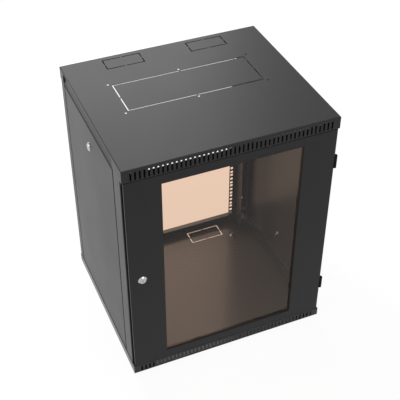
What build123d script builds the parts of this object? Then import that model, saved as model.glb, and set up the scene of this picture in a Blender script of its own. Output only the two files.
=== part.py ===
from build123d import *
import os

os.makedirs("parts", exist_ok=True)

# Rack size and the overall size
rack_units = 15
unit = 44.45
unit_hole_from_edge = 6.35
unit_holes = (unit_hole_from_edge, unit / 2, unit - unit_hole_from_edge)
width = 600.0
depth = 520.0
floor_skirt = 30.0
roof_skirt = 38.0
grid_clearance = 7.25
grid_top_gap = 0.25
height = floor_skirt + rack_units * unit + grid_clearance + roof_skirt

# Sheet steel of the shell and of the rails
sheet = 1.2
rail_sheet = 1.5
catch_sheet = 2.0
edge_bend = 2.4
fold_bend = 1.2

# Hollows pressed into the roof's side skirts above the panels
hollow_depth = 5.0
hollow_from_top = 5.0
hollow_deepest_from_top = 9.0
hollow_past_skirt = 4.0

# Returns folded inwards round the roof and the floor tray
front_return = 29.5
side_return = 35.0
rear_return = 17.0

# Ventilation slots in the front strips
slot_pitch = 12.0
slot_margin = 20.0
slot_width = 5.0
roof_slot_length = 25.0
roof_slot_foot = 4.0
floor_slot_length = 20.0

# Knock-outs and small holes in the roof and the floor
cut_width = 3.2
bridge = 5.0
fan_cover_length = 390.0
fan_cover_breadth = 128.5
fan_cover_centre = 44.0
fan_hole = 6.4
fan_hole_margin_x = 10.3
fan_hole_margin_y = 8.75
cable_cover_length = 109.0
cable_cover_breadth = 48.5
cable_cover_x = 126.0
cable_cover_from_wall = 43.0

# Posts and removable side panels
body_inset = 1.2
post_front_depth = 53.0
post_front_flange = 20.8
post_rear_depth = 32.0
post_rear_flange = 36.8
jamb = 12.0
wall_hole = 10.0
wall_hole_from_side = 20.0
wall_hole_from_end = 50.0
panel_gap = 3.0
panel_foot_gap = 0.4
panel_top_gap = 1.5
panel_fold = 12.0
panel_top_bend = 10.0
lug_width = 30.0
lug_drop = 8.4
lug_from_centre = 139.0
lug_slot_length = 34.0
lug_slot_width = 4.4

# Rack rails and their brackets
rail_hole_span = 465.1
rail_hole_from_edge = 7.55
rail_flange = 26.5
rail_web = 45.0
rail_hole = 9.5
rail_end_gap = 6.0
rail_front_gap = 0.5
rail_rear_gap = 1.5
web_hole = 6.0
web_hole_from_edge = 9.0
bracket_width = 30.0
bracket_height = 32.0
bracket_foot = 33.5
rail_screw = 6.0
rail_screw_length = 8.0
rail_screw_head = 11.0
rail_screw_head_height = 3.0
screw_clearance = 0.3

# Door, window and glass
door_thickness = 5.5
door_seat_gap = 11.5
door_side_gap = 4.0
door_end_gap = 1.5
window_stile = 98.0
window_rail = 27.0
window_return = 5.5
seal_thickness = 1.0
seal_width = 9.0
lining = 1.2
glass_thickness = 4.0
glass_margin = 10.0
clip_width = 22.0
clip_gap = 2.6
clip_foot = 11.5
clip_lip = 8.0
clip_stud = 4.0
clip_stud_length = 4.8
clip_nut = 7.0
clip_nut_height = 3.2
clip_nut_edge = 0.8
clips_per_stile = 3
clips_per_rail = 2

# Door hinges on the right edge
hinge_set_back = 4.0
hinge_pitch = 455.0
hinge_height = 40.0
knuckle = 10.0
hinge_pin = 5.0
running_clearance = 0.05
knuckle_gap = 0.4
leaf = 2.0
leaf_length = 24.0
hinge_foot = 18.0
notch_width = 2.5
notch_clearance = 1.0
hinge_screw = 4.0
hinge_screw_pitch = 24.0

# Key locks of the door and of the side panels
lock_bezel = 25.0
lock_bezel_height = 3.5
lock_body = 18.0
lock_depth = 18.2
lock_hole_clearance = 0.3
lock_plug = 14.0
lock_plug_clearance = 0.08
lock_nut_across = 24.0
lock_nut_height = 3.5
key_slot_length = 8.0
key_slot_width = 2.0
key_slot_depth = 4.0
cam_thickness = 2.5
cam_width = 16.0
cam_gap = 0.6
cam_square = 7.0
cam_clearance = 0.06
door_cam_reach = 34.0
side_cam_reach = 45.0
cam_screw = 4.0
cam_screw_head = 9.0
cam_screw_head_height = 2.0
cam_screw_length = 8.0
door_lock_from_edge = 36.0
side_lock_from_top = 77.0
side_lock_y = 20.0
catch_width = 40.0
catch_from_lock = 28.0
catch_foot = 15.6

# Earth studs
earth_stud = 5.0
earth_stud_length = 11.0
earth_nut = 8.0
earth_nut_height = 3.5
floor_stud_from_side = 90.0
floor_stud_from_wall = 87.0
panel_stud_y = 14.0
panel_stud_z = 109.0

# Planes that the pieces share
side = width / 2
front = -depth / 2
wall = depth / 2
low = floor_skirt
high = height - roof_skirt
side_face = side - body_inset
post_front = front + door_thickness + door_seat_gap
jamb_front = post_front + post_front_depth
jamb_rear = wall - post_rear_depth
rail_face_front = front + front_return + rail_front_gap
rail_face_rear = wall - rear_return - rail_rear_gap
rail_inside = rail_hole_span / 2 - rail_hole_from_edge
rail_outside = rail_inside + rail_flange
grid_base = high - grid_top_gap - rack_units * unit
slot_count = 2 * int((side - slot_margin) / slot_pitch) + 1
door_low = low + door_end_gap
door_high = high - door_end_gap
door_mid = (door_low + door_high) / 2
hinge_zs = (door_mid - hinge_pitch / 2, door_mid + hinge_pitch / 2)
foot_inner = side_face - hinge_foot
hinge_screw_x = (foot_inner + side_face) / 2
hinge_screw_places = [(hinge_screw_x, z + s * hinge_screw_pitch / 2) for z in hinge_zs for s in (-1, 1)]


def folded_tray(face, length, breadth, fold):
    """A sheet on the face plane with its four edges folded back, open behind."""
    inward = Axis(face.origin, face.z_dir * -1)
    with BuildPart() as tray:
        with BuildSketch(face):
            Rectangle(length, breadth)
        extrude(amount=-fold)
        fillet(tray.faces().sort_by(inward)[0].edges(), edge_bend)
        offset(amount=-sheet, openings=tray.faces().sort_by(inward)[-1])
    return tray.part


def lipped_tray(face, fold):
    """A roof or floor tray: a folded tray with an inward return along each free edge."""
    outward = Axis(face.origin, face.z_dir)
    lip = Plane.XY.offset(face.origin.Z - fold * face.z_dir.Z)
    lip_thickness = sheet * face.z_dir.Z
    with BuildPart() as tray:
        add(folded_tray(face, width, depth, fold))
        with BuildSketch(lip):
            Rectangle(width, depth)
            with Locations((0, (front_return - rear_return) / 2)):
                Rectangle(width - 2 * side_return, depth - front_return - rear_return, mode=Mode.SUBTRACT)
        extrude(amount=lip_thickness)
        fillet(tray.faces().sort_by(outward)[0].outer_wire().edges(), edge_bend)
    return tray.part


def fold_section(points, thickness, material):
    """The section of a folded strip, whose outer line follows the points."""
    with BuildSketch() as section:
        with BuildLine():
            FilletPolyline(*points, radius=fold_bend + thickness)
            offset(amount=thickness, side=material)
        make_face()
    return section.sketch_local


def knock_out(length, breadth):
    """Adds the cut round a cover that a bridge holds at the middle of each side."""
    Rectangle(length + cut_width, breadth + cut_width)
    Rectangle(length - cut_width, breadth - cut_width, mode=Mode.SUBTRACT)
    Rectangle(bridge, breadth + 2 * cut_width, mode=Mode.SUBTRACT)
    Rectangle(length + 2 * cut_width, bridge, mode=Mode.SUBTRACT)


def screw(seat, shank, length, head, head_height):
    """A pan head screw whose head stands on the seat plane."""
    with BuildPart() as pin:
        with BuildSketch(seat):
            Circle(head / 2)
        extrude(amount=head_height)
        fillet(pin.faces().sort_by(Axis(seat.origin, seat.z_dir))[-1].edges(), head_height / 2)
        with BuildSketch(seat):
            Circle(shank / 2)
        extrude(amount=-length)
    return pin.part


def cable_cover_cuts():
    """Adds the cuts round the two cable knock-outs near the wall."""
    for x in (-cable_cover_x, cable_cover_x):
        with Locations((x, wall - cable_cover_from_wall)):
            knock_out(cable_cover_length, cable_cover_breadth)


# Places that several pieces share: the brackets' screws and the panels' lugs
front_bracket_y = rail_face_front + rail_web / 2
rear_bracket_y = rail_face_rear - rail_web / 2
foot_screw_x = rail_outside + bracket_foot * 0.65
foot_screws = [(x, y) for x in (-foot_screw_x, foot_screw_x) for y in (front_bracket_y, rear_bracket_y)]
lug_x = side_face - panel_fold - sheet / 2
lug_places = [(x * (lug_x - sheet / 2), y) for x in (-1, 1) for y in (-lug_from_centre, lug_from_centre)]
panel_mid_y = (jamb_front + jamb_rear) / 2


# Roof: a tray with its sheet on top, a return round its lower edge, vents and knock-outs
roof_tray = lipped_tray(Plane.XY.offset(height), roof_skirt)
slot_strip = Plane.XZ.offset(-front)
hollow_rise = roof_skirt - hollow_deepest_from_top + hollow_past_skirt
hollow_radius = (hollow_rise**2 + hollow_depth**2) / (2 * hollow_depth)
hollow_x = side - hollow_depth + hollow_radius
hollow_z = height - hollow_deepest_from_top
hollow_half_length = (jamb_rear - jamb_front) / 2

with BuildPart() as roof:
    add(roof_tray)
    for grown, mode in ((sheet, Mode.ADD), (0, Mode.SUBTRACT)):
        with BuildSketch(Plane.XZ.offset(-panel_mid_y)):
            with Locations((0, high)):
                Rectangle(width, roof_skirt - hollow_from_top + grown, align=(Align.CENTER, Align.MIN))
            with BuildSketch(mode=Mode.INTERSECT):
                with Locations((-hollow_x, hollow_z), (hollow_x, hollow_z)):
                    Circle(hollow_radius + grown)
        extrude(amount=hollow_half_length + grown, both=True, mode=mode)
    with BuildSketch(slot_strip):
        with Locations((0, high + roof_slot_foot + roof_slot_length / 2)):
            with GridLocations(slot_pitch, 1, slot_count, 1):
                SlotOverall(roof_slot_length, slot_width, rotation=90)
    extrude(amount=-2 * sheet, mode=Mode.SUBTRACT)
    with BuildSketch(Plane.XY.offset(height)):
        with Locations((0, fan_cover_centre)):
            knock_out(fan_cover_length, fan_cover_breadth)
        cable_cover_cuts()
        with Locations((0, fan_cover_centre)):
            fan_hole_x = fan_cover_length / 2 + fan_hole_margin_x
            fan_hole_y = fan_cover_breadth + 2 * fan_hole_margin_y
            with GridLocations(fan_hole_x, fan_hole_y, 3, 2):
                Circle(fan_hole / 2)
    extrude(amount=-2 * sheet, mode=Mode.SUBTRACT)
    with BuildSketch(Plane.XY.offset(high)):
        with Locations(*foot_screws):
            Circle(rail_screw / 2 + screw_clearance)
    extrude(amount=2 * sheet, mode=Mode.SUBTRACT)
roof.part.label = "roof"
export_step(roof.part, "parts/roof.step")

# Floor tray: the same tray turned over, with a lower skirt
floor_shell = lipped_tray(Plane(origin=(0, 0, 0), x_dir=(1, 0, 0), z_dir=(0, 0, -1)), floor_skirt)

with BuildPart() as floor_tray:
    add(floor_shell)
    with BuildSketch(slot_strip):
        with Locations((0, floor_skirt / 2)):
            with GridLocations(slot_pitch, 1, slot_count, 1):
                SlotOverall(floor_slot_length, slot_width, rotation=90)
    extrude(amount=-2 * sheet, mode=Mode.SUBTRACT)
    with BuildSketch(Plane.XY):
        cable_cover_cuts()
    extrude(amount=2 * sheet, mode=Mode.SUBTRACT)
    with BuildSketch(Plane.XY.offset(low)):
        with Locations(*foot_screws):
            Circle(rail_screw / 2 + screw_clearance)
        with Locations(*[(x, y + panel_mid_y) for x, y in lug_places]):
            Rectangle(lug_slot_width, lug_slot_length)
    extrude(amount=-2 * sheet, mode=Mode.SUBTRACT)
floor_tray.part.label = "floor_tray"
export_step(floor_tray.part, "parts/floor_tray.step")

# Front posts: folded channels between the floor tray and the roof, drilled to hang the door on either side
with BuildPart() as front_post_right:
    with BuildSketch(Plane.XY.offset(low)):
        corner = [
            (side_face - post_front_flange, post_front),
            (side_face, post_front),
            (side_face, jamb_front),
            (side_face - jamb, jamb_front),
        ]
        add(fold_section(corner, sheet, Side.LEFT))
    extrude(amount=high - low)
    with BuildSketch(Plane.XZ.offset(-post_front)):
        with Locations(*hinge_screw_places):
            Circle(hinge_screw / 2 + screw_clearance)
    extrude(amount=-2 * sheet, mode=Mode.SUBTRACT)
front_post_right.part.label = "front_post_right"
export_step(front_post_right.part, "parts/front_post_right.step")

with BuildPart() as front_post_left:
    mirror(front_post_right.part, about=Plane.YZ)
front_post_left.part.label = "front_post_left"
export_step(front_post_left.part, "parts/front_post_left.step")

# Rear posts: channels whose rear flange lies on the wall, with the fixing holes
with BuildPart() as rear_post_right:
    with BuildSketch(Plane.XY.offset(low)):
        corner = [
            (side_face - jamb, jamb_rear),
            (side_face, jamb_rear),
            (side_face, wall),
            (side_face - post_rear_flange, wall),
        ]
        add(fold_section(corner, sheet, Side.LEFT))
    extrude(amount=high - low)
    with BuildSketch(Plane.XZ.offset(-wall)):
        with Locations((side - wall_hole_from_side, low + wall_hole_from_end)):
            Circle(wall_hole / 2)
        with Locations((side - wall_hole_from_side, high - wall_hole_from_end)):
            Circle(wall_hole / 2)
    extrude(amount=2 * sheet, both=True, mode=Mode.SUBTRACT)
rear_post_right.part.label = "rear_post_right"
export_step(rear_post_right.part, "parts/rear_post_right.step")

with BuildPart() as rear_post_left:
    mirror(rear_post_right.part, about=Plane.YZ)
rear_post_left.part.label = "rear_post_left"
export_step(rear_post_left.part, "parts/rear_post_left.step")


def rack_rail(face_y, inward):
    """A right-hand rail whose hole flange lies on face_y, its web folded inwards."""
    with BuildPart() as rail:
        with BuildSketch(Plane.XY.offset(sheet + rail_end_gap)):
            angle = [
                (rail_inside, face_y),
                (rail_outside, face_y),
                (rail_outside, face_y + inward * rail_web),
            ]
            add(fold_section(angle, rail_sheet, Side.LEFT if inward > 0 else Side.RIGHT))
        extrude(amount=height - 2 * (sheet + rail_end_gap))
        with BuildSketch(Plane.XZ.offset(-face_y)):
            hole_x = rail_hole_span / 2
            with Locations(*[(hole_x, grid_base + u * unit + h) for u in range(rack_units) for h in unit_holes]):
                Rectangle(rail_hole, rail_hole)
        extrude(amount=2 * rail_sheet, both=True, mode=Mode.SUBTRACT)
        with BuildSketch(Plane.YZ.offset(rail_outside)):
            web_y = face_y + inward * (rail_web - web_hole_from_edge)
            with Locations(*[(web_y, grid_base + (u + 0.5) * unit) for u in range(rack_units)]):
                Rectangle(web_hole, web_hole)
            with Locations(*[(face_y + inward * rail_web / 2, z) for z in bracket_screw_heights]):
                Circle(rail_screw / 2 + screw_clearance)
        extrude(amount=2 * rail_sheet, both=True, mode=Mode.SUBTRACT)
    return rail.part


# Rack rails: square-hole angles, two at the front and two at the rear
bracket_screw_heights = (low + bracket_height * 0.6, high - bracket_height * 0.6)
front_rail = rack_rail(rail_face_front, 1)
rear_rail = rack_rail(rail_face_rear, -1)

with BuildPart() as rail_front_right:
    add(front_rail)
rail_front_right.part.label = "rack_rail_front_right"
export_step(rail_front_right.part, "parts/rack_rail_front_right.step")

with BuildPart() as rail_front_left:
    mirror(front_rail, about=Plane.YZ)
rail_front_left.part.label = "rack_rail_front_left"
export_step(rail_front_left.part, "parts/rack_rail_front_left.step")

with BuildPart() as rail_rear_right:
    add(rear_rail)
rail_rear_right.part.label = "rack_rail_rear_right"
export_step(rail_rear_right.part, "parts/rack_rail_rear_right.step")

with BuildPart() as rail_rear_left:
    mirror(rear_rail, about=Plane.YZ)
rail_rear_left.part.label = "rack_rail_rear_left"
export_step(rail_rear_left.part, "parts/rack_rail_rear_left.step")

# Rail brackets: angles between the rails' webs and the returns, eight in all
with BuildPart() as rail_brackets:
    for y in (front_bracket_y, rear_bracket_y):
        for foot, rise, material in ((low, 1, Side.LEFT), (high, -1, Side.RIGHT)):
            with BuildSketch(Plane.XZ.offset(-y)):
                angle = [
                    (rail_outside, foot + rise * bracket_height),
                    (rail_outside, foot),
                    (rail_outside + bracket_foot, foot),
                ]
                add(fold_section(angle, rail_sheet, material))
            extrude(amount=bracket_width / 2, both=True)
            with BuildSketch(Plane.XY.offset(foot)):
                with Locations((foot_screw_x, y)):
                    Circle(rail_screw / 2 + screw_clearance)
            extrude(amount=2 * rail_sheet, both=True, mode=Mode.SUBTRACT)
    with BuildSketch(Plane.YZ.offset(rail_outside)):
        with Locations(*[(y, z) for y in (front_bracket_y, rear_bracket_y) for z in bracket_screw_heights]):
            Circle(rail_screw / 2 + screw_clearance)
    extrude(amount=2 * rail_sheet, mode=Mode.SUBTRACT)
    mirror(about=Plane.YZ)
rail_brackets.part.label = "rail_brackets"
export_step(rail_brackets.part, "parts/rail_brackets.step")

# Rail screws: one through each bracket's foot and one through each web
with BuildPart() as rail_screws:
    for y in (front_bracket_y, rear_bracket_y):
        for z, out in ((low + rail_sheet, 1), (high - rail_sheet, -1)):
            foot_seat = Plane(origin=(foot_screw_x, y, z), z_dir=(0, 0, out))
            add(screw(foot_seat, rail_screw, rail_screw_length, rail_screw_head, rail_screw_head_height))
        for z in bracket_screw_heights:
            web_seat = Plane(origin=(rail_outside - rail_sheet, y, z), z_dir=(-1, 0, 0))
            add(screw(web_seat, rail_screw, rail_screw_length, rail_screw_head, rail_screw_head_height))
    mirror(about=Plane.YZ)
rail_screws.part.label = "rail_screws"
export_step(rail_screws.part, "parts/rail_screws.step")

# Side catches: angles under the roof's side returns that the side locks' cams go behind
side_lock_z = high - side_lock_from_top
catch_face = side_face - lock_depth + catch_sheet

with BuildPart() as side_catch_right:
    with BuildSketch(Plane.XZ.offset(-side_lock_y)):
        angle = [
            (catch_face - catch_foot, high),
            (catch_face, high),
            (catch_face, side_lock_z + catch_from_lock),
        ]
        add(fold_section(angle, catch_sheet, Side.RIGHT))
    extrude(amount=catch_width / 2, both=True)
side_catch_right.part.label = "side_catch_right"
export_step(side_catch_right.part, "parts/side_catch_right.step")

with BuildPart() as side_catch_left:
    mirror(side_catch_right.part, about=Plane.YZ)
side_catch_left.part.label = "side_catch_left"
export_step(side_catch_left.part, "parts/side_catch_left.step")


def stud(seat, length):
    """A threaded earth stud welded to the seat plane."""
    with BuildPart() as pin:
        with BuildSketch(seat):
            Circle(earth_stud / 2)
        extrude(amount=length)
        chamfer(pin.faces().sort_by(Axis(seat.origin, seat.z_dir))[-1].edges(), earth_stud / 8)
    return pin.part


def hex_nut(seat, bore, across, thickness):
    """A nut that stands on the seat plane."""
    with BuildPart() as nut:
        with BuildSketch(seat):
            RegularPolygon(across / 2, 6, major_radius=False)
            Circle(bore / 2, mode=Mode.SUBTRACT)
        extrude(amount=thickness)
    return nut.part


# Earth studs: one through the floor and one on each side panel, each with its nut
floor_stud_seat = Plane(origin=(side - floor_stud_from_side, wall - floor_stud_from_wall, sheet), z_dir=(0, 0, 1))

with BuildPart() as floor_earth_stud:
    add(stud(floor_stud_seat, earth_stud_length))
floor_earth_stud.part.label = "floor_earth_stud"
export_step(floor_earth_stud.part, "parts/floor_earth_stud.step")

with BuildPart() as floor_earth_nut:
    add(hex_nut(floor_stud_seat, earth_stud + 2 * screw_clearance, earth_nut, earth_nut_height))
floor_earth_nut.part.label = "floor_earth_nut"
export_step(floor_earth_nut.part, "parts/floor_earth_nut.step")

# Door frame: a folded tray with a flanged window, notches for the hinges and a lock hole
door_side = side - door_side_gap
door_face = Plane(origin=(0, front, door_mid), x_dir=(1, 0, 0), z_dir=(0, -1, 0))
door_width = 2 * door_side
door_height = door_high - door_low
window_width = door_width - 2 * window_stile
window_height = door_height - 2 * window_rail
lock_x = -door_side + door_lock_from_edge
door_shell = folded_tray(door_face, door_width, door_height, door_thickness)

with BuildPart() as door_frame:
    add(door_shell)
    with BuildSketch(door_face):
        Rectangle(window_width + 2 * sheet, window_height + 2 * sheet)
    extrude(amount=-window_return)
    with BuildSketch(door_face):
        Rectangle(window_width, window_height)
    extrude(amount=-window_return, mode=Mode.SUBTRACT)
    face_wires = door_frame.faces().sort_by(Axis.Y)[0].inner_wires()
    fillet(face_wires.edges(), sheet * 0.8)
    with BuildSketch(door_face):
        with Locations((lock_x, 0)):
            Circle(lock_body / 2 + lock_hole_clearance)
        for z in hinge_zs:
            with Locations((door_side, z - door_mid)):
                Rectangle(2 * notch_width, hinge_height + 2 * notch_clearance)
    extrude(amount=-door_thickness, mode=Mode.SUBTRACT)
door_frame.part.label = "door_frame"
export_step(door_frame.part, "parts/door_frame.step")

# Glass: a tinted pane behind the window's return, on a rubber seal that also lines the window's edge
seal_face = door_face.offset(-window_return)
glass_face = seal_face.offset(-seal_thickness)
glass_width = window_width + 2 * glass_margin
glass_height = window_height + 2 * glass_margin

with BuildPart() as glass_seal:
    with BuildSketch(seal_face):
        Rectangle(window_width + 2 * seal_width, window_height + 2 * seal_width)
        Rectangle(window_width, window_height, mode=Mode.SUBTRACT)
    extrude(amount=-seal_thickness)
    with BuildSketch(glass_face):
        Rectangle(window_width, window_height)
        Rectangle(window_width - 2 * lining, window_height - 2 * lining, mode=Mode.SUBTRACT)
    extrude(amount=window_return + seal_thickness - lining)
glass_seal.part.label = "glass_seal"
export_step(glass_seal.part, "parts/glass_seal.step")

with BuildPart() as door_glass:
    with BuildSketch(glass_face):
        Rectangle(glass_width, glass_height)
    extrude(amount=-glass_thickness)
door_glass.part.label = "door_glass"
export_step(door_glass.part, "parts/door_glass.step")

# Glass clips: folded strips on welded studs that press the pane against its seal
stile_step = window_height / clips_per_stile
rail_step = window_width / clips_per_rail
clip_places = []
for s in (-1, 1):
    for i in range(clips_per_stile):
        z = door_mid + (i - (clips_per_stile - 1) / 2) * stile_step
        clip_places.append(((s * glass_width / 2, front + sheet, z), Vector(s, 0, 0)))
    for i in range(clips_per_rail):
        x = (i - (clips_per_rail - 1) / 2) * rail_step
        clip_places.append(((x, front + sheet, door_mid + s * glass_height / 2), Vector(0, 0, s)))
inwards = Vector(0, 1, 0)
glass_back = window_return + seal_thickness + glass_thickness - sheet
stud_offset = clip_gap + clip_foot - clip_nut_edge - clip_nut / 2
stud_seats = [Plane(origin=Vector(*place) + away * stud_offset, z_dir=inwards) for place, away in clip_places]

with BuildPart() as glass_clips:
    for place, away in clip_places:
        with BuildSketch(Plane(origin=place, x_dir=away, z_dir=away.cross(inwards))):
            strip = [
                (clip_gap + clip_foot, 0),
                (clip_gap, 0),
                (clip_gap, glass_back),
                (-clip_lip, glass_back),
            ]
            add(fold_section(strip, sheet, Side.RIGHT))
        extrude(amount=clip_width / 2, both=True)
    for seat in stud_seats:
        with BuildSketch(seat):
            Circle(clip_stud / 2 + screw_clearance)
        extrude(amount=2 * sheet, mode=Mode.SUBTRACT)
glass_clips.part.label = "glass_clips"
export_step(glass_clips.part, "parts/glass_clips.step")

with BuildPart() as clip_studs:
    for seat in stud_seats:
        with BuildSketch(seat):
            Circle(clip_stud / 2)
        extrude(amount=clip_stud_length)
clip_studs.part.label = "clip_studs"
export_step(clip_studs.part, "parts/clip_studs.step")

with BuildPart() as clip_nuts:
    for seat in stud_seats:
        add(hex_nut(seat.offset(sheet), clip_stud + screw_clearance, clip_nut, clip_nut_height))
clip_nuts.part.label = "clip_nuts"
export_step(clip_nuts.part, "parts/clip_nuts.step")

# Hinge leaves on the body: a foot on the post, an arm and the lower knuckle
axis_y = front + hinge_set_back
half_hinge = hinge_height / 2
body_knuckle = half_hinge - knuckle_gap / 2

with BuildPart() as hinge_body_leaves:
    for z in hinge_zs:
        with BuildSketch(Plane.XY.offset(z - half_hinge)):
            with Locations((side, axis_y)):
                Circle(knuckle / 2)
            with Locations(((side_face - leaf / 2), (axis_y + post_front) / 2)):
                Rectangle(leaf, post_front - axis_y)
        extrude(amount=body_knuckle)
        with BuildSketch(Plane.XY.offset(z - half_hinge)):
            with Locations(((foot_inner + side_face) / 2, post_front - leaf / 2)):
                Rectangle(side_face - foot_inner, leaf)
        extrude(amount=hinge_height)
        with BuildSketch(Plane.XY.offset(z - half_hinge)):
            with Locations((side, axis_y)):
                Circle(hinge_pin / 2 + running_clearance)
        extrude(amount=body_knuckle, mode=Mode.SUBTRACT)
    with BuildSketch(Plane.XZ.offset(-post_front)):
        with Locations(*hinge_screw_places):
            Circle(hinge_screw / 2 + screw_clearance)
    extrude(amount=leaf, mode=Mode.SUBTRACT)
hinge_body_leaves.part.label = "hinge_body_leaves"
export_step(hinge_body_leaves.part, "parts/hinge_body_leaves.step")

# Hinge leaves on the door: a plate inside the frame, an arm through the notch and the upper knuckle
plate_outer = door_side - notch_width
plate_y = front + sheet + leaf / 2

with BuildPart() as hinge_door_leaves:
    for z in hinge_zs:
        with BuildSketch(Plane.XY.offset(z + knuckle_gap / 2)):
            with Locations((side, axis_y)):
                Circle(knuckle / 2)
            with Locations(((plate_outer + side) / 2, plate_y)):
                Rectangle(side - plate_outer, leaf)
        extrude(amount=body_knuckle)
        with BuildSketch(Plane.XY.offset(z - half_hinge)):
            with Locations((plate_outer - leaf_length / 2, plate_y)):
                Rectangle(leaf_length, leaf)
        extrude(amount=hinge_height)
        with BuildSketch(Plane.XY.offset(z)):
            with Locations((side, axis_y)):
                Circle(hinge_pin / 2 + running_clearance)
        extrude(amount=half_hinge, mode=Mode.SUBTRACT)
hinge_door_leaves.part.label = "hinge_door_leaves"
export_step(hinge_door_leaves.part, "parts/hinge_door_leaves.step")

with BuildPart() as hinge_pins:
    for z in hinge_zs:
        top = Plane(origin=(side, axis_y, z + half_hinge + knuckle_gap), z_dir=(0, 0, 1))
        add(screw(top, hinge_pin, hinge_height + knuckle_gap, knuckle - leaf, leaf))
hinge_pins.part.label = "hinge_pins"
export_step(hinge_pins.part, "parts/hinge_pins.step")

with BuildPart() as hinge_screws:
    for x, z in hinge_screw_places:
        seat = Plane(origin=(x, post_front - leaf, z), z_dir=(0, -1, 0))
        add(screw(seat, hinge_screw, leaf + 2 * sheet, 2 * hinge_screw, hinge_screw / 2))
hinge_screws.part.label = "hinge_screws"
export_step(hinge_screws.part, "parts/hinge_screws.step")


def lock_housing(seat):
    """A round bezel on the seat plane and a threaded body through the sheet behind it."""
    with BuildPart() as housing:
        with BuildSketch(seat):
            Circle(lock_bezel / 2)
        bezel = extrude(amount=lock_bezel_height)
        rim = bezel.faces().sort_by(Axis(seat.origin, seat.z_dir))[-1].edges()
        fillet(rim, lock_bezel_height / 2)
        with BuildSketch(seat):
            Circle(lock_body / 2)
        extrude(amount=-lock_depth)
        with BuildSketch(seat.offset(lock_bezel_height)):
            Circle(lock_plug / 2 + lock_plug_clearance)
        extrude(amount=-lock_bezel_height - lock_depth, mode=Mode.SUBTRACT)
    return housing.part


def lock_plug_part(seat):
    """The plug that the key turns, with its slot in front and a square tail behind."""
    with BuildPart() as plug:
        with BuildSketch(seat.offset(lock_bezel_height)):
            Circle(lock_plug / 2)
        extrude(amount=-lock_bezel_height - lock_depth - cam_gap)
        with BuildSketch(seat.offset(-lock_depth - cam_gap)):
            Rectangle(cam_square, cam_square)
        extrude(amount=-cam_thickness)
        with BuildSketch(seat.offset(lock_bezel_height)):
            SlotOverall(key_slot_length, key_slot_width)
        extrude(amount=-key_slot_depth, mode=Mode.SUBTRACT)
        with BuildSketch(seat.offset(-lock_depth - cam_gap - cam_thickness)):
            Circle(cam_screw / 2 + running_clearance)
        extrude(amount=cam_screw_length, mode=Mode.SUBTRACT)
    return plug.part


def lock_cam_part(seat, reach):
    """A flat cam on the plug's tail that points along the seat plane's x."""
    with BuildPart() as cam:
        with BuildSketch(seat.offset(-lock_depth - cam_gap)):
            with Locations((reach / 2, 0)):
                Rectangle(reach, cam_width)
            Circle(cam_width / 2)
            Rectangle(cam_square + 2 * cam_clearance, cam_square + 2 * cam_clearance, mode=Mode.SUBTRACT)
        extrude(amount=-cam_thickness)
    return cam.part


def lock_screw_part(seat):
    """The screw that holds the cam on the plug's tail."""
    with BuildPart() as pin:
        back = Plane(origin=seat.offset(-lock_depth - cam_gap - cam_thickness).origin, z_dir=seat.z_dir * -1)
        add(screw(back, cam_screw, cam_screw_length - cam_gap, cam_screw_head, cam_screw_head_height))
    return pin.part


# Door lock: a cam lock in the left stile, shown unlocked with its cam hanging down
door_lock_seat = Plane(origin=(lock_x, front, door_mid), x_dir=(0, 0, -1), z_dir=(0, -1, 0))

with BuildPart() as door_lock_housing:
    add(lock_housing(door_lock_seat))
door_lock_housing.part.label = "door_lock_housing"
export_step(door_lock_housing.part, "parts/door_lock_housing.step")

with BuildPart() as door_lock_nut:
    add(hex_nut(door_lock_seat.offset(-sheet - lock_nut_height), lock_body + screw_clearance,
                lock_nut_across, lock_nut_height))
door_lock_nut.part.label = "door_lock_nut"
export_step(door_lock_nut.part, "parts/door_lock_nut.step")

with BuildPart() as door_lock_plug:
    add(lock_plug_part(door_lock_seat))
door_lock_plug.part.label = "door_lock_plug"
export_step(door_lock_plug.part, "parts/door_lock_plug.step")

with BuildPart() as door_lock_cam:
    add(lock_cam_part(door_lock_seat, door_cam_reach))
door_lock_cam.part.label = "door_lock_cam"
export_step(door_lock_cam.part, "parts/door_lock_cam.step")

with BuildPart() as door_lock_screw:
    add(lock_screw_part(door_lock_seat))
door_lock_screw.part.label = "door_lock_screw"
export_step(door_lock_screw.part, "parts/door_lock_screw.step")

# Side panels: folded trays with a wide bend at the top, each with a lock, an earth stud and two lugs
panel_low = low + panel_foot_gap
panel_high = high - panel_top_gap
panel_mid_z = (panel_low + panel_high) / 2
panel_length = jamb_rear - jamb_front - 2 * panel_gap

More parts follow.
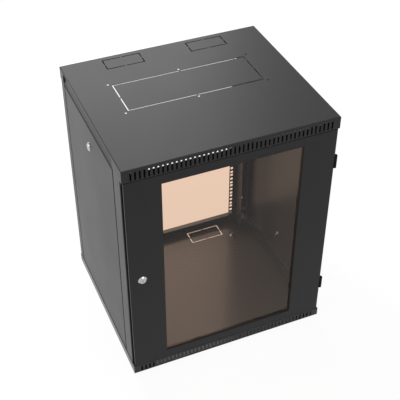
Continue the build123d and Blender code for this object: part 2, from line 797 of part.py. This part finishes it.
for name, s in (("left", -1), ("right", 1)):
    outward = Vector(s, 0, 0)
    panel_face = Plane(origin=(s * side_face, panel_mid_y, panel_mid_z), x_dir=(0, s, 0), z_dir=outward)
    lock_seat = Plane(origin=(s * side_face, side_lock_y, side_lock_z), x_dir=(0, 1, 0), z_dir=outward)
    stud_hole = Plane(origin=(s * side_face, panel_stud_y, panel_stud_z), z_dir=outward * -1)
    across = Axis(panel_face.origin, outward)

    with BuildPart() as side_panel:
        with BuildSketch(panel_face):
            Rectangle(panel_length, panel_high - panel_low)
        extrude(amount=-panel_fold)
        fillet(side_panel.faces().sort_by(across)[-1].edges().sort_by(Axis.Z)[-1], panel_top_bend)
        fillet(side_panel.faces().sort_by(across)[-1].edges().sort_by(Axis.Z)[:-1], edge_bend)
        offset(amount=-sheet, openings=side_panel.faces().sort_by(across)[0])
        with BuildSketch(lock_seat):
            Circle(lock_body / 2 + lock_hole_clearance)
        extrude(amount=-2 * sheet, mode=Mode.SUBTRACT)
    side_panel.part.label = f"side_panel_{name}"
    export_step(side_panel.part, f"parts/side_panel_{name}.step")

    with BuildPart() as panel_lugs:
        for y in (panel_mid_y - lug_from_centre, panel_mid_y + lug_from_centre):
            with BuildSketch(Plane.XY.offset(panel_low - lug_drop)):
                with Locations((s * (side_face - panel_fold - sheet / 2), y)):
                    Rectangle(sheet, lug_width)
            extrude(amount=lug_drop + sheet)
    panel_lugs.part.label = f"panel_lugs_{name}"
    export_step(panel_lugs.part, f"parts/panel_lugs_{name}.step")

    with BuildPart() as panel_earth_stud:
        add(stud(stud_hole.offset(sheet), earth_stud_length))
    panel_earth_stud.part.label = f"panel_earth_stud_{name}"
    export_step(panel_earth_stud.part, f"parts/panel_earth_stud_{name}.step")

    with BuildPart() as panel_earth_nut:
        add(hex_nut(stud_hole.offset(sheet), earth_stud + 2 * screw_clearance, earth_nut, earth_nut_height))
    panel_earth_nut.part.label = f"panel_earth_nut_{name}"
    export_step(panel_earth_nut.part, f"parts/panel_earth_nut_{name}.step")

    with BuildPart() as housing:
        add(lock_housing(lock_seat))
    housing.part.label = f"{name}_lock_housing"
    export_step(housing.part, f"parts/{name}_lock_housing.step")

    with BuildPart() as nut:
        add(hex_nut(lock_seat.offset(-sheet - lock_nut_height), lock_body + screw_clearance,
                    lock_nut_across, lock_nut_height))
    nut.part.label = f"{name}_lock_nut"
    export_step(nut.part, f"parts/{name}_lock_nut.step")

    with BuildPart() as plug:
        add(lock_plug_part(lock_seat))
    plug.part.label = f"{name}_lock_plug"
    export_step(plug.part, f"parts/{name}_lock_plug.step")

    with BuildPart() as cam:
        add(lock_cam_part(lock_seat, side_cam_reach))
    cam.part.label = f"{name}_lock_cam"
    export_step(cam.part, f"parts/{name}_lock_cam.step")

    with BuildPart() as cam_holder:
        add(lock_screw_part(lock_seat))
    cam_holder.part.label = f"{name}_lock_screw"
    export_step(cam_holder.part, f"parts/{name}_lock_screw.step")
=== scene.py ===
import math

import bpy
from mathutils import Matrix, Vector


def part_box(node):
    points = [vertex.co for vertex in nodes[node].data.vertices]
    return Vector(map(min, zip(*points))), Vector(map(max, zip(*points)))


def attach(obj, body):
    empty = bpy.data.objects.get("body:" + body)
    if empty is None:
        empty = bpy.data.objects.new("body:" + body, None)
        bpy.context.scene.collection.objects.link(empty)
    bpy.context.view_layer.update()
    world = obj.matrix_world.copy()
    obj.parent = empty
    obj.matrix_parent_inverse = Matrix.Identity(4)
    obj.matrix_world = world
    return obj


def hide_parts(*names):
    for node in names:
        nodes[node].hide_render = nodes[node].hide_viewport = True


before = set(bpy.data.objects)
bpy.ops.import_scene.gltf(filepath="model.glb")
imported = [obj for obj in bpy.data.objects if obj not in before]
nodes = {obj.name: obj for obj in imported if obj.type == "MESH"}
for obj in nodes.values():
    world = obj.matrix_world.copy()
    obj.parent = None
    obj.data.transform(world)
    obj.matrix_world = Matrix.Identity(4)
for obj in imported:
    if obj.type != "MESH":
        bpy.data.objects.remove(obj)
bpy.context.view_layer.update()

# Roof, floor tray and the four posts: the welded and bolted shell.
# Folded and pierced sheet steel with a textured dark grey powder coat, glossier on the floor tray, whose
# floor sheet is painted paler as painted light for the light that falls on it inside.
# The solids carry every fold, slot and knock-out, so only the coats are made here.


class Link:
    """One value inside a node tree, with Python's arithmetic."""

    def __init__(self, tree, socket):
        self.tree = tree
        self.socket = socket

    def __add__(self, other):
        return self.tree.maths("ADD", self, other)

    def __sub__(self, other):
        return self.tree.maths("SUBTRACT", self, other)

    def __rsub__(self, other):
        return self.tree.maths("SUBTRACT", other, self)

    def __mul__(self, other):
        return self.tree.maths("MULTIPLY", self, other)

    def __truediv__(self, other):
        return self.tree.maths("DIVIDE", self, other)

    def __pow__(self, other):
        return self.tree.maths("POWER", self, other)

    def __abs__(self):
        return self.tree.maths("ABSOLUTE", self)

    def fraction(self):
        return self.tree.maths("FRACT", self)

    __radd__ = __add__
    __rmul__ = __mul__


class Tree:
    """Adds nodes to the tree of a material, of the world or of a mesh."""

    def __init__(self, tree):
        self.tree = tree

    def node(self, kind, settings=(), values=(), out=0):
        made = self.tree.nodes.new(kind)
        for name, value in dict(settings).items():
            setattr(made, name, value)
        for name, value in dict(values).items():
            for one in value if isinstance(value, list) else [value]:
                if isinstance(one, Link):
                    self.tree.links.new(one.socket, made.inputs[name])
                else:
                    made.inputs[name].default_value = one
        return Link(self, made.outputs[out] if made.outputs else None)

    def maths(self, operation, *values):
        return self.node("ShaderNodeMath", {"operation": operation}, dict(enumerate(values)))


class Finish(Tree):
    """A material, with the few nodes that most finishes share."""

    def __init__(self, name):
        self.material = bpy.data.materials.new(name)
        self.material.use_nodes = True
        super().__init__(self.material.node_tree)
        self.tree.nodes.clear()
        self.place = self.node("ShaderNodeTexCoord", out="Object")

    def noise(self, scale, detail):
        return self.node("ShaderNodeTexNoise", {}, {"Vector": self.place, "Scale": scale, "Detail": detail})

    def blend(self, share, first, second):
        return self.node("ShaderNodeMix", {"data_type": "RGBA"}, {0: share, 6: first, 7: second}, 2)

    def relief(self, height, depth, strength):
        return self.node("ShaderNodeBump", {}, {"Strength": strength, "Distance": depth, "Height": height})

    def principled(self, **values):
        names = {name.replace("_", " "): value for name, value in values.items()}
        return self.node("ShaderNodeBsdfPrincipled", {}, names)

    def surface(self, shader):
        self.node("ShaderNodeOutputMaterial", {}, {"Surface": shader})
        return self.material


def shade(colour, share=1.0):
    """A colour made darker or lighter, with its alpha."""
    return tuple(channel * share for channel in colour) + (1.0,)


def powder_coat(name, colour, roughness, peel, sand, shine=0.15, plate=None):
    """A baked powder coat: slightly clouded, with an orange-peel relief and a fine sandy one.

    The peel and the sand are counted in grains to a metre. A plate is a height and a colour of painted
    light, which gives the surface up to that height a paler colour in place of the light that falls on it.
    """
    coat = Finish(name)
    cloud = coat.noise(scale=7.0, detail=3.0)
    waves = coat.noise(scale=peel, detail=2.0)
    grains = coat.noise(scale=sand, detail=1.0)
    tone = coat.blend(cloud * 0.6 + grains * 0.4, shade(colour, 0.86), shade(colour, 1.14))
    # Painted light: below the plate's height the coat turns paler, in place of light that falls there.
    if plate:
        top, painted_light_colour = plate
        height = coat.node("ShaderNodeSeparateXYZ", {}, {0: coat.place}, out=2)
        tone = coat.blend(coat.maths("LESS_THAN", height, top) * 0.8, tone, painted_light_colour)
    return coat.surface(coat.principled(
        Base_Color=tone,
        Roughness=roughness + (cloud - 0.5) * 0.08 + (waves - 0.5) * 0.06,
        Specular_IOR_Level=shine,
        Normal=coat.relief(waves * 0.7 + grains * 0.3, depth=0.01 / peel, strength=0.5),
    ))


def dress(material, *names):
    """Gives CAD nodes a material."""
    for name in names:
        slots = nodes[name].data.materials
        slots.clear()
        slots.append(material)


# Painted light: the floor sheet, below this height, is painted paler to stand in for the light that falls on
# it inside the cabinet.
painted_light_top, painted_light_colour = 0.0014, (0.042, 0.040, 0.039, 1.0)
body_coat = powder_coat("body_coat", (0.022, 0.022, 0.023), roughness=0.36, peel=260.0, sand=1100.0)
floor_coat = powder_coat(
    "floor_coat", (0.020, 0.020, 0.021), roughness=0.22, peel=700.0, sand=1800.0, shine=0.21,
    plate=(painted_light_top, painted_light_colour),
)
dress(body_coat, "roof", "front_post_left", "front_post_right", "rear_post_left", "rear_post_right")
dress(floor_coat, "floor_tray")

# Rack rails with their brackets, and the side catches.
# Thicker folded steel with a duller coat, a shade paler than the shell, round crisp square holes.
rail_coat = powder_coat(
    "rail_coat", (0.034, 0.032, 0.031), roughness=0.50, peel=420.0, sand=1600.0, shine=0.22,
)
dress(
    rail_coat,
    "rack_rail_front_left", "rack_rail_front_right", "rack_rail_rear_left", "rack_rail_rear_right",
    "rail_brackets", "side_catch_left", "side_catch_right",
)

# Screws of the rails: pan heads with a cross recess and a cut thread, M6, in dulled zinc plate.
# Eight hold the brackets' feet to the roof and the floor tray, and eight hold the rails to the brackets.


class Build(Tree):
    """A geometry tree with named inputs, which ends as one plain mesh."""

    def __init__(self, name, sizes):
        super().__init__(bpy.data.node_groups.new(name, "GeometryNodeTree"))
        face = self.tree.interface
        face.new_socket("Seats", in_out="INPUT", socket_type="NodeSocketGeometry")
        for size, kind in sizes.items():
            face.new_socket(size, in_out="INPUT", socket_type="NodeSocket" + kind)
        face.new_socket("Finish", in_out="INPUT", socket_type="NodeSocketMaterial")
        face.new_socket("Mesh", in_out="OUTPUT", socket_type="NodeSocketGeometry")

    def given(self, name):
        return self.node("NodeGroupInput", out=name)

    def cylinder(self, points, radius, length, rows=1, rings=1):
        return self.node("GeometryNodeMeshCylinder", {}, {
            "Vertices": points, "Side Segments": rows, "Fill Segments": rings,
            "Radius": radius, "Depth": length,
        })

    def position(self):
        """Where each point of the mesh is, as x, y and z."""
        place = self.node("GeometryNodeInputPosition")
        return [self.node("ShaderNodeSeparateXYZ", {}, {0: place}, out=axis) for axis in range(3)]

    def at(self, x, y, z):
        return self.node("ShaderNodeCombineXYZ", {}, {0: x, 1: y, 2: z})

    def shaped(self, mesh, position):
        return self.node("GeometryNodeSetPosition", {}, {"Geometry": mesh, "Position": position})

    def moved(self, mesh, x, y, z, turn=0.0):
        return self.node("GeometryNodeTransform", {}, {
            "Geometry": mesh, "Translation": self.at(x, y, z), "Rotation": (0.0, 0.0, turn),
        })

    def cut(self, mesh, tools):
        return self.node("GeometryNodeMeshBoolean", {"operation": "DIFFERENCE"}, {0: mesh, 1: tools})

    def shared(self, meshes):
        return self.node("GeometryNodeMeshBoolean", {"operation": "INTERSECT"}, {1: meshes})

    def joined(self, meshes):
        return self.node("GeometryNodeJoinGeometry", {}, {0: meshes})

    def thread(self, radius, length, pitch, rows):
        """A shank below the seat with a real helical groove, about half a pitch deep."""
        x, y, z = self.position()
        turns = z / pitch + self.maths("ARCTAN2", y, x) / (2 * math.pi)
        groove = pitch * 0.55 / radius
        narrow = 1.0 - groove * abs(turns.fraction() * 2.0 - 1.0)
        bare = self.cylinder(24, radius, length, rows)
        return self.shaped(bare, self.at(x * narrow, y * narrow, z - length * 0.5))

    def end(self, mesh, seed):
        """Sets a copy of the mesh on every seat, spun at random about the way it faces."""
        facing = self.node(
            "GeometryNodeInputNamedAttribute", {"data_type": "FLOAT_VECTOR"}, {"Name": "facing"},
        )
        aim = self.node("FunctionNodeAlignRotationToVector", {"axis": "Z"}, {"Vector": facing})
        spin = self.node(
            "FunctionNodeRandomValue", {"data_type": "FLOAT"}, {2: 0.0, 3: 2 * math.pi, "Seed": seed}, out=1,
        )
        turn = self.node("FunctionNodeAxisAngleToRotation", {}, {"Angle": spin})
        both = self.node("FunctionNodeRotateRotation", {"rotation_space": "LOCAL"}, {0: aim, 1: turn})
        copies = self.node("GeometryNodeInstanceOnPoints", {}, {
            "Points": self.given("Seats"), "Instance": mesh, "Rotation": both,
        })
        plain = self.node("GeometryNodeRealizeInstances", {}, {0: copies})
        done = self.node("GeometryNodeSetMaterial", {}, {
            "Geometry": plain, "Material": self.given("Finish"),
        })
        self.node("NodeGroupOutput", {}, {0: done})
        return self.tree


def fit(name, tree, sizes, seats, finish, body, replaced):
    """Sets what a geometry tree makes on the seats, for a CAD node, and rides it on that node's body.

    Each seat is a place and the way it faces.
    """
    sharp_edge = math.radians(32)
    mesh = bpy.data.meshes.new(name)
    mesh.from_pydata([place for place, _ in seats], [], [])
    ways = mesh.attributes.new("facing", "FLOAT_VECTOR", "POINT")
    for way, (_, facing) in zip(ways.data, seats):
        way.vector = facing
    piece = bpy.data.objects.new(name, mesh)
    bpy.context.collection.objects.link(piece)
    modifier = piece.modifiers.new("build", "NODES")
    modifier.node_group = tree
    values = {**sizes, "Finish": finish}
    for item in tree.interface.items_tree:
        if item.in_out == "INPUT" and item.name in values:
            modifier[item.identifier] = values[item.name]
    graph = bpy.context.evaluated_depsgraph_get()
    made = bpy.data.meshes.new_from_object(piece.evaluated_get(graph), depsgraph=graph)
    piece.modifiers.clear()
    piece.data = made
    made.shade_smooth()
    made.set_sharp_from_angle(angle=sharp_edge)
    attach(piece, body)
    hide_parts(replaced)


def plated(name, colour, roughness, stain):
    """Zinc or chrome plate: bright metal with a faint cloud of stain and fine rub marks."""
    plate = Finish(name)
    cloud = plate.noise(scale=90.0, detail=3.0)
    rubs = plate.noise(scale=2600.0, detail=1.0)
    return plate.surface(plate.principled(
        Base_Color=plate.blend(cloud, shade(colour), shade(colour, stain)),
        Metallic=1.0,
        Roughness=roughness + cloud * 0.1 + rubs * 0.05,
        Normal=plate.relief(rubs, depth=0.00003, strength=0.5),
    ))


dull_zinc = plated("dull_zinc", (0.26, 0.26, 0.25), roughness=0.34, stain=0.7)

screw = Build("cross_screw", {
    "Head radius": "Float", "Head height": "Float", "Shank radius": "Float", "Shank length": "Float",
    "Pitch": "Float", "Rows": "Int",
})
dome, recess_length, recess_width, recess_depth = 0.45, 1.15, 0.24, 1.1
head_radius, head_height = screw.given("Head radius"), screw.given("Head height")
x, y, z = screw.position()
across = (x * x + y * y) ** 0.5 / head_radius
crown = (z + head_height * 0.5) * (1.0 - across ** 4.0 * dome)
disc = screw.cylinder(32, head_radius, head_height, rows=2, rings=8)
head = screw.shaped(disc, screw.at(x, y, crown))
wing = screw.node("GeometryNodeMeshCube", {}, {
    "Size": screw.at(head_radius * recess_length, head_radius * recess_width, head_height * recess_depth),
})
wings = [screw.moved(wing, 0.0, 0.0, head_height, turn) for turn in (0.0, math.pi / 2)]
shank = screw.thread(*(screw.given(size) for size in ("Shank radius", "Shank length", "Pitch", "Rows")))
cross_screw = screw.end(screw.joined([screw.cut(head, wings), shank]), seed=3)

m6_screw = {
    "Head radius": 0.0055, "Head height": 0.003, "Shank radius": 0.00296, "Shank length": 0.008,
    "Pitch": 0.001, "Rows": 48,
}
rail_sheet, web_screw_from_foot = 0.0015, 0.0192
rails = [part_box(f"rack_rail_{end}_right") for end in ("front", "rear")]
rail_y = [(low.y + high.y) / 2 for low, high in rails]
screws_low, screws_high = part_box("rail_screws")
foot_x = screws_high.x - m6_screw["Head radius"]
foot_z = (screws_low.z + m6_screw["Shank length"], screws_high.z - m6_screw["Shank length"])
brackets_low, brackets_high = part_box("rail_brackets")
web_x = rails[0][1].x - rail_sheet
web_z = (brackets_low.z + web_screw_from_foot, brackets_high.z - web_screw_from_foot)
rail_seats = []
for side in (-1, 1):
    for y in rail_y:
        rail_seats += [((side * foot_x, y, z), (0, 0, way)) for z, way in zip(foot_z, (1, -1))]
        rail_seats += [((side * web_x, y, z), (-side, 0, 0)) for z in web_z]
fit("screws_of_rails", cross_screw, m6_screw, rail_seats, dull_zinc, "cabinet", "rail_screws")

# Earth studs: one through the floor and one on each side panel, for the bonding leads.
# A threaded stud is pressed into the sheet, and a chamfered nut clamps a toothed washer on it.


def seat_of(node, facing, ahead=0.0):
    """A place on the axis of a CAD fastener, so far ahead of its inner end, and the way it faces."""
    low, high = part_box(node)
    way = Vector(facing)
    inner_end = (low + high) / 2 - way * abs((high - low).dot(way)) / 2
    return inner_end + way * ahead, facing


stud = Build("stud", {"Radius": "Float", "Length": "Float", "Pitch": "Float", "Rows": "Int"})
length = stud.given("Length")
threaded = stud.thread(stud.given("Radius"), length, stud.given("Pitch"), stud.given("Rows"))
threaded_stud = stud.end(stud.moved(threaded, 0.0, 0.0, length), seed=5)

nut = Build("nut", {"Across": "Float", "Bore": "Float", "Height": "Float", "Washer": "Float"})
chamfer_radius, chamfer_slope, washer_radius, tooth_reach, tooth_count = 0.475, 1.73, 0.53, 0.09, 18
span, bore, tall, washer = (nut.given(name) for name in ("Across", "Bore", "Height", "Washer"))
prism = nut.cylinder(6, span * (0.5 / math.cos(math.pi / 6)), tall)
turned = nut.node("GeometryNodeMeshCone", {}, {
    "Vertices": 48, "Radius Top": span * chamfer_radius,
    "Radius Bottom": span * chamfer_radius + tall * chamfer_slope, "Depth": tall,
})
turned = nut.moved(turned, 0.0, 0.0, tall * -0.5)
drill = nut.cylinder(24, bore * 0.5, tall * 3.0)
hexagon = nut.cut(nut.shared([prism, turned]), drill)
x, y, z = nut.position()
teeth = 1.0 + (nut.maths("ARCTAN2", y, x) * float(tooth_count) / (2 * math.pi)).fraction() * tooth_reach
disc = nut.cylinder(6 * tooth_count, span * washer_radius, washer)
toothed = nut.cut(nut.shaped(disc, nut.at(x * teeth, y * teeth, z)), drill)
tower = [nut.moved(hexagon, 0.0, 0.0, tall * 0.5 + washer), nut.moved(toothed, 0.0, 0.0, washer * 0.5)]
hex_nut = nut.end(nut.joined(tower), seed=7)

m5_stud = {"Radius": 0.00246, "Length": 0.011, "Pitch": 0.0008, "Rows": 84}
m5_nut = {"Across": 0.008, "Bore": 0.0056, "Height": 0.0029, "Washer": 0.0006}
floor_earth = [seat_of("floor_earth_stud", (0, 0, 1))]
fit("stud_of_floor", threaded_stud, m5_stud, floor_earth, dull_zinc, "cabinet", "floor_earth_stud")
fit("nut_of_floor", hex_nut, m5_nut, floor_earth, dull_zinc, "cabinet", "floor_earth_nut")
for name, side in (("left", -1), ("right", 1)):
    panel = f"{name}_panel"
    stud_node, nut_node = f"panel_earth_stud_{name}", f"panel_earth_nut_{name}"
    seat = [seat_of(stud_node, (-side, 0, 0))]
    fit(f"stud_of_{panel}", threaded_stud, m5_stud, seat, dull_zinc, panel, stud_node)
    fit(f"nut_of_{panel}", hex_nut, m5_nut, seat, dull_zinc, panel, nut_node)

# Door frame: one folded tray with a flanged window.
# The same steel and coat as the shell, made a shade darker as painted shade for the front, which gets less
# light.
door_coat = powder_coat("door_coat", (0.017, 0.017, 0.0175), roughness=0.36, peel=260.0, sand=1100.0)
dress(door_coat, "door_frame")

# Window: a 4 mm bronze tinted toughened pane that presses on a rubber strip behind the flange.
# The tint is in the glass, so light through it turns warm, and its outer faces mirror the room a little.


def bronze_glass(tint, mirror_tint):
    pane = Finish("tinted_glass")
    smears = pane.noise(scale=6.0, detail=3.0)
    clear = pane.node("ShaderNodeBsdfTransparent", {}, {"Color": tint})
    mirror = pane.node("ShaderNodeBsdfGlossy", {}, {"Color": mirror_tint, "Roughness": smears * 0.03})
    share = pane.node("ShaderNodeFresnel", {}, {"IOR": 1.33})
    outside = 1.0 - pane.node("ShaderNodeNewGeometry", out="Backfacing")
    return pane.surface(pane.node("ShaderNodeMixShader", {}, {0: share * outside, 1: clear, 2: mirror}))


def soft_black(name, colour, roughness, pores):
    """Rubber or black coating, with a dusty bloom and so many pores to a metre."""
    skin = Finish(name)
    bloom = skin.noise(scale=40.0, detail=3.0)
    pitted = skin.noise(scale=pores, detail=2.0)
    return skin.surface(skin.principled(
        Base_Color=skin.blend(bloom, shade(colour, 0.8), shade(colour, 1.5)),
        Roughness=roughness + bloom * 0.12,
        Specular_IOR_Level=0.1,
        Normal=skin.relief(pitted, depth=0.0001, strength=0.4),
    ))


tinted_glass = bronze_glass(tint=(0.889, 0.750, 0.652, 1.0), mirror_tint=(1.0, 0.94, 0.90, 1.0))
rubber = soft_black("rubber", (0.012, 0.012, 0.012), roughness=0.6, pores=1800.0)
dress(tinted_glass, "door_glass")
dress(rubber, "glass_seal")

# Clips that hold the pane: ten folded strips in the door's darker coat of painted shade, three on each stile
# and two on each rail.
# Each is under a nut on a stud that is welded to the frame, both zinc plated.
zinc = plated("zinc", (0.62, 0.62, 0.60), roughness=0.26, stain=0.8)
dress(door_coat, "glass_clips")
glass_lap, stud_from_glass, clip_sheet = 0.010, 0.0098, 0.0012
glass_low, glass_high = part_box("door_glass")
glass_middle, glass_half = (glass_low + glass_high) / 2, (glass_high - glass_low) / 2
stud_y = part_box("clip_studs")[0].y
stile_step = (glass_half.z - glass_lap) * 2 / 3
rail_step = (glass_half.x - glass_lap) / 2
inwards = (0, 1, 0)
clip_seats = []
for side in (-1, 1):
    stile_x = side * (glass_half.x + stud_from_glass)
    clip_seats += [((stile_x, stud_y, glass_middle.z + step * stile_step), inwards) for step in (-1, 0, 1)]
    rail_z = glass_middle.z + side * (glass_half.z + stud_from_glass)
    clip_seats += [((step * rail_step, stud_y, rail_z), inwards) for step in (-1, 1)]
nut_seats = [((x, y + clip_sheet, z), facing) for (x, y, z), facing in clip_seats]
m4_stud = {"Radius": 0.00198, "Length": 0.0048, "Pitch": 0.0007, "Rows": 42}
m4_nut = {"Across": 0.007, "Bore": 0.0043, "Height": 0.0028, "Washer": 0.0004}
fit("studs_of_clips", threaded_stud, m4_stud, clip_seats, zinc, "door", "clip_studs")
fit("nuts_of_clips", hex_nut, m4_nut, nut_seats, zinc, "door", "clip_nuts")

# Hinges: two pairs of black steel leaves, each on one pin, at the door's right edge.
# Two screws hold the foot of each fixed leaf to the front post, and the other leaf lies inside the door.
hinge_black = soft_black("hinge_black", (0.004, 0.004, 0.0045), roughness=0.5, pores=900.0)
dress(hinge_black, "hinge_body_leaves", "hinge_door_leaves", "hinge_pins", "hinge_screws")

# Locks: a chromed cam lock in the door's left stile and one near the top of each side panel.
# A hex nut clamps the housing to the sheet, and a zinc plated cam turns on the plug's square tail.
# The housing's bezel slopes from its face to a thin rim, and its shank is threaded for the nut.
chrome = plated("chrome", (0.50, 0.50, 0.505), roughness=0.10, stain=0.8)
housing = Build("lock_housing", {
    "Bezel radius": "Float", "Bezel height": "Float", "Face radius": "Float", "Bore radius": "Float",
    "Shank radius": "Float", "Shank length": "Float", "Pitch": "Float", "Rows": "Int",
})
slope_share = 0.9
bezel_radius, bezel_height = housing.given("Bezel radius"), housing.given("Bezel height")
face_radius, shank_length = housing.given("Face radius"), housing.given("Shank length")
x, y, z = housing.position()
fall = housing.maths("MINIMUM", (bezel_height * 0.5 - z) / (bezel_height * slope_share), 1.0)
spread = (face_radius + (bezel_radius - face_radius) * fall) / bezel_radius
disc = housing.cylinder(64, bezel_radius, bezel_height, rows=10)
sloped = housing.shaped(disc, housing.at(x * spread, y * spread, z + bezel_height * 0.5))
threaded = housing.thread(
    housing.given("Shank radius"), shank_length, housing.given("Pitch"), housing.given("Rows"),
)
drill = housing.cylinder(48, housing.given("Bore radius"), shank_length * 3.0)
bored = [housing.cut(part, drill) for part in (sloped, threaded)]
lock_housing = housing.end(housing.joined(bored), seed=11)

cam_lock = {
    "Bezel radius": 0.0125, "Bezel height": 0.0035, "Face radius": 0.0091, "Bore radius": 0.00708,
    "Shank radius": 0.00898, "Shank length": 0.0182, "Pitch": 0.001, "Rows": 109,
}
for lock, lock_body, outwards in (
    ("door", "door", (0, -1, 0)), ("left", "left_panel", (-1, 0, 0)), ("right", "right_panel", (1, 0, 0)),
):
    node = f"{lock}_lock_housing"
    seat = [seat_of(node, outwards, ahead=cam_lock["Shank length"])]
    fit(f"housing_of_{lock}_lock", lock_housing, cam_lock, seat, chrome, lock_body, node)
    dress(chrome, f"{lock}_lock_plug")
    dress(zinc, f"{lock}_lock_nut", f"{lock}_lock_cam", f"{lock}_lock_screw")

# Side panels: folded trays that hang between the posts on two lugs and a lock.
# The panels have lit and shaded copies of one coat, as painted light and shade: the left one a shade darker
# and duller, the right one paler and glossier, to catch more of the light that comes in at the back.
panel_coat = powder_coat(
    "panel_coat", (0.020, 0.020, 0.021), roughness=0.31, peel=500.0, sand=1500.0, shine=0.075,
)
# Painted light: the right panel's coat is a paler, glossier copy of the left one's.
right_coat = powder_coat(
    "right_coat", (0.022, 0.022, 0.023), roughness=0.33, peel=500.0, sand=1500.0, shine=0.17,
)
dress(panel_coat, "side_panel_left", "panel_lugs_left", "panel_lugs_right")
dress(right_coat, "side_panel_right")

# Studio: a pale floor, a soft room and four soft lamps, seen through the photograph's camera.
# Floor and room look white to the camera, in a mirror and through glass, and light the cabinet more dimly.
scene = bpy.context.scene
scene.view_settings.view_transform = "Standard"


def seen(tree):
    """1 for rays that look, in a mirror and through glass too, and 0 for rays that light."""
    kinds = ("Camera", "Glossy", "Transmission")
    camera, glossy, passing = (tree.node("ShaderNodeLightPath", out=f"Is {kind} Ray") for kind in kinds)
    return tree.maths("MAXIMUM", tree.maths("MAXIMUM", camera, glossy), passing)


floor_reach, floor_grey, floor_glow = 12.0, 0.8, 0.94
white = (1.0, 1.0, 1.0, 1.0)
ground = bpy.data.meshes.new("ground")
corners = [(x * floor_reach, y * floor_reach, 0) for x, y in ((-1, -1), (1, -1), (1, 1), (-1, 1))]
ground.from_pydata(corners, [], [(0, 1, 2, 3)])
floor = bpy.data.objects.new("ground", ground)
bpy.context.collection.objects.link(floor)
paper = Finish("paper")
matt = paper.node("ShaderNodeBsdfDiffuse", {}, {"Color": (floor_grey, floor_grey, floor_grey, 1.0)})
lit = paper.node("ShaderNodeEmission", {}, {"Color": white, "Strength": 1.0})
both = paper.node("ShaderNodeMixShader", {}, {0: seen(paper) * floor_glow, 1: matt, 2: lit})
ground.materials.append(paper.surface(both))

room_level = 0.55
room = bpy.data.worlds.new("room")
scene.world = room
room.use_nodes = True
room.node_tree.nodes.clear()
air = Tree(room.node_tree)
glow = air.node("ShaderNodeBackground", {}, {
    "Color": white, "Strength": seen(air) * (1.0 - room_level) + room_level,
})
air.node("ShaderNodeOutputWorld", {}, {"Surface": glow})


def lamp(name, place, target, size, power):
    light = bpy.data.lights.new(name, "AREA")
    light.shape = "SQUARE"
    light.size = size
    light.energy = power
    made = bpy.data.objects.new(name, light)
    bpy.context.collection.objects.link(made)
    away = Vector(place) - Vector(target)
    made.matrix_world = Matrix.Translation(place) @ away.to_track_quat("Z", "Y").to_matrix().to_4x4()


lamp("rear_lamp", place=(0.2, 2.3, 2.35), target=(0.0, 0.0, 0.6), size=2.0, power=51.0)
lamp("low_lamp", place=(-0.4, 2.0, 0.6), target=(0.15, 0.0, 0.3), size=0.4, power=80.0)
lamp("left_lamp", place=(-2.6, 0.4, 2.0), target=(0.0, 0.0, 0.4), size=1.8, power=16.0)
lamp("front_lamp", place=(0.9, -2.2, 2.8), target=(0.0, 0.0, 0.4), size=1.8, power=25.0)

picture_pixels, focal_pixels, sensor_width = 400.0, 886.4, 36.0
aim_across, aim_height, distance = 0.01503, 0.2764, 2.848
azimuth, elevation, roll = math.radians(-23.07), math.radians(39.85), math.radians(0.097)
flat = math.cos(elevation)
back = Vector((math.sin(azimuth) * flat, -math.cos(azimuth) * flat, math.sin(elevation)))
level = Vector((0, 0, 1)).cross(back).normalized()
upright = back.cross(level)
right = math.cos(roll) * level + math.sin(roll) * upright
up = math.cos(roll) * upright - math.sin(roll) * level
eye = bpy.data.cameras.new("camera")
eye.sensor_width = sensor_width
eye.lens = sensor_width * focal_pixels / picture_pixels
camera = bpy.data.objects.new("camera", eye)
bpy.context.collection.objects.link(camera)
stand = Matrix.Translation(right * aim_across + up * aim_height + back * distance)
camera.matrix_world = stand @ Matrix((right, up, back)).transposed().to_4x4()
scene.camera = camera
